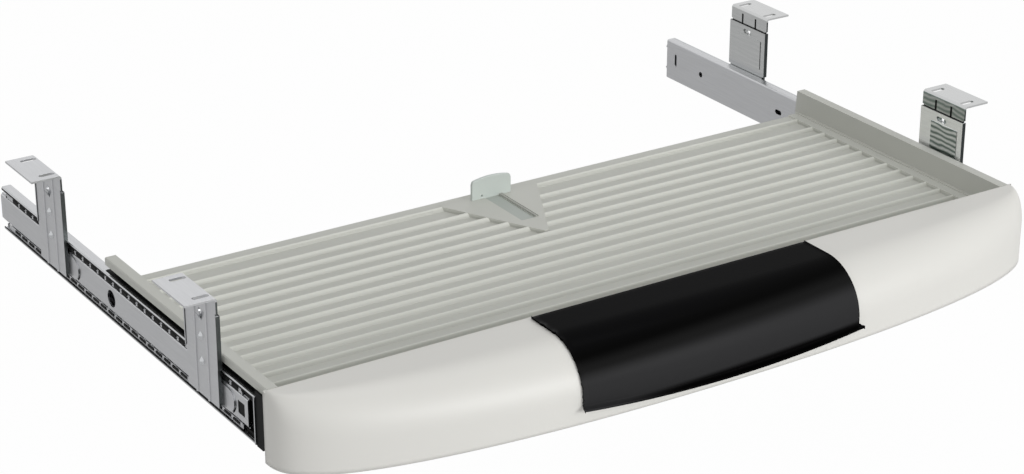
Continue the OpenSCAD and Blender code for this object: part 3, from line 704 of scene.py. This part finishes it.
def addBracketTrim(side, end, place):
    middle = end * bracketY
    for number, z in enumerate(dome["z"]):
        addTrim(makeDome("leg_dome_%s_%d" % (place, number), side, middle, z), "hangers", "ball_steel")
    addTrim(makeTongue("leg_tongue_" + place, side, middle), "hangers", "ball_steel")
    x, y, z = sleeveGapShade
    addTrim(brick("sleeve_gap_shade_" + place, side, x, [middle + v for v in y], z), "runners",
        slots["sleeve_" + place], "black_plastic")
    for number, (x, y, z) in enumerate(beadShades):
        beadShadeBrick = brick("bead_shade_%s_%d" % (place, number), side, x, [middle + v for v in y], z)
        addTrim(beadShadeBrick, "hangers", "black_plastic")


for side, label in ((-1, "left"), (1, "right")):
    addTrim(makeRimShade(side, label), "tray", "black_plastic")
    edges, windows = makeCageEdges(side, label)
    addTrim(edges, "cage_" + label, "satin_zinc")
    addTrim(windows, "cage_" + label, "satin_zinc", "black_plastic")
    shade = [brick("shade", side, lipShadeX, channelY, z) for z in lipShadeZ]
    addTrim(joined("lip_shade_" + label, shade), "tray", "satin_zinc", "black_plastic")
    addTrim(brick("lip_shine_" + label, side, *lipShine), "tray", "ball_steel")
    addTrim(brick("channel_end_" + label, side, *channelEnd), "tray", "satin_zinc")
    addBracketTrim(side, -1, "front_" + label)
    addBracketTrim(side, 1, "rear_" + label)
for number, ranges in enumerate(footGrooveShades):
    addTrim(brick("foot_groove_shade_%d" % number, 1, *ranges), "tray", "grey_plastic", "groove_shade")
print("trim: done")


room = {
    "floorZ": -0.30,
    "floorSize": 12.0,
    "floorColor": (0.82, 0.82, 0.82, 1),
    "floorRoughness": 0.9,
    "floorWhite": 0.98,      # share of plain white that the camera sees in the floor
    "floorMirrored": 0.3,    # the same in reflections, so upright metal is darker than its tops
    "worldStrength": 0.38,
}


def seenByEye(tree, direct, mirrored):
    # how white the background is to camera and transmission rays, and to glossy rays; 0 to the rest
    path = addNode(tree, "LightPath").outputs
    camera = mathOf(tree, "MULTIPLY", path["Is Camera Ray"], direct)
    through = mathOf(tree, "MULTIPLY", path["Is Transmission Ray"], direct)
    glossy = mathOf(tree, "MULTIPLY", path["Is Glossy Ray"], mirrored)
    return mathOf(tree, "MAXIMUM", mathOf(tree, "MAXIMUM", camera, through), glossy)


def makeFloor():
    half, z = room["floorSize"] / 2, room["floorZ"]
    points = np.array([[-half, -half, z], [half, -half, z], [half, half, z], [-half, half, z]])
    floor = meshFrom("floor", points, np.array([[0, 1, 2, 3]]), smooth=False)
    material = bpy.data.materials.new("paleFloor")
    material.use_nodes = True
    tree = material.node_tree
    shader = feed(tree, tree.nodes["Principled BSDF"],
        {"Base Color": room["floorColor"], "Roughness": room["floorRoughness"]})
    glow = addNode(tree, "Emission")
    share = seenByEye(tree, room["floorWhite"], room["floorMirrored"])
    blend = addNode(tree, "MixShader", {"Fac": share, 1: shader.outputs[0], 2: glow.outputs[0]})
    feed(tree, tree.nodes["Material Output"], {"Surface": blend.outputs[0]})
    floor.data.materials.append(material)


def makeWorld():
    world = bpy.data.worlds.new("softStudio")
    scene.world = world
    world.use_nodes = True
    tree = world.node_tree
    tree.nodes.clear()
    white = (1, 1, 1, 1)
    lit = addNode(tree, "Background", {"Color": white, "Strength": room["worldStrength"]})
    seen = addNode(tree, "Background", {"Color": white, "Strength": 1})
    blend = addNode(tree, "MixShader",
        {"Fac": seenByEye(tree, direct=1, mirrored=1), 1: lit.outputs[0], 2: seen.outputs[0]})
    addNode(tree, "OutputWorld", {"Surface": blend.outputs[0]})


lamps = {
    "key": {"spot": (0.8, -2.6, 0.65), "aim": (0, -0.1, -0.05), "size": (1.6, 1.0), "power": 33},
    "fill": {"spot": (-2.0, -1.4, 0.9), "aim": (0, 0, -0.05), "size": (1.6, 1.4), "power": 5},
    "top": {"spot": (0.3, 0.2, 2.0), "aim": (0, 0, -0.05), "size": (1.6, 1.2), "power": 9},
}


def makeLamp(name, spot, aim, size, power):
    lamp = bpy.data.lights.new(name, "AREA")
    lamp.shape = "RECTANGLE"
    lamp.size, lamp.size_y = size
    lamp.energy = power
    holder = addObject(name, lamp)
    holder.location = spot
    holder.rotation_euler = (Vector(aim) - Vector(spot)).to_track_quat("-Z", "Y").to_euler()


cameraAt = {
    "place": (-1.05635, -1.64758, 0.76441),
    "azimuth": -32.70,
    "elevation": 23.685,
    "focal": 2592.9,         # in pixels of a frame this wide
    "frameWidth": 1024,
    "sensorWidth": 36,
}


def makeCamera():
    azimuth, elevation = np.radians([cameraAt["azimuth"], cameraAt["elevation"]])
    level = np.cos(elevation)
    ahead = Vector((-np.sin(azimuth) * level, np.cos(azimuth) * level, -np.sin(elevation)))
    lens = bpy.data.cameras.new("camera")
    lens.sensor_fit = "HORIZONTAL"
    lens.sensor_width = cameraAt["sensorWidth"]
    lens.lens = cameraAt["focal"] / cameraAt["frameWidth"] * cameraAt["sensorWidth"]
    holder = addObject("camera", lens)
    holder.location = cameraAt["place"]
    holder.rotation_euler = ahead.to_track_quat("-Z", "Y").to_euler()
    scene.camera = holder


makeFloor()
makeWorld()
for name, lamp in lamps.items():
    makeLamp(name, **lamp)
makeCamera()
scene.view_settings.view_transform = "Standard"
print("room: done")
